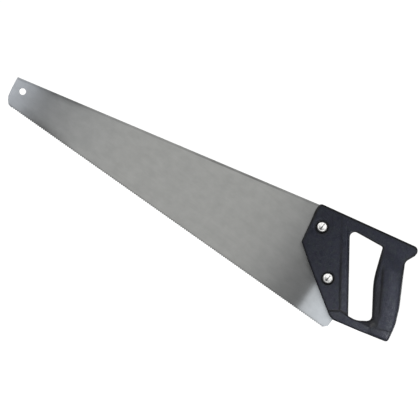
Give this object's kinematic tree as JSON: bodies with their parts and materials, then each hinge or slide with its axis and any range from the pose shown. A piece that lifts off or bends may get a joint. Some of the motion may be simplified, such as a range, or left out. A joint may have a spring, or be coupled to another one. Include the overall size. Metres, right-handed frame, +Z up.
{
  "type": "hand saw",
  "caption": "Crosscut hand saw: a tapered steel blade with a hang hole at the toe, clamped by slotted saw screws in a closed moulded plastic handle.",
  "frame": {"origin": "on the line of the tooth points, under the middle of the saw's length and midway through its thickness", "axes": "+X along the toothed edge from the toe to the handle, +Y through the thickness, +Z up from the teeth to the back"},
  "size_m": [0.535, 0.026, 0.1406],
  "materials": {
    "blade_steel": "cold-rolled saw steel, satin, finely brushed along the blade",
    "handle_plastic": "blue-black moulded plastic with a fine satin texture",
    "screw_metal": "bright nickel plate, slightly dulled"
  },
  "bodies": {
    "root": {"blade": "blade_steel", "handle": "handle_plastic", "upper_saw_screw": "screw_metal", "lower_saw_screw": "screw_metal", "upper_saw_nut": "screw_metal", "lower_saw_nut": "screw_metal"}
  },
  "joints": []
}
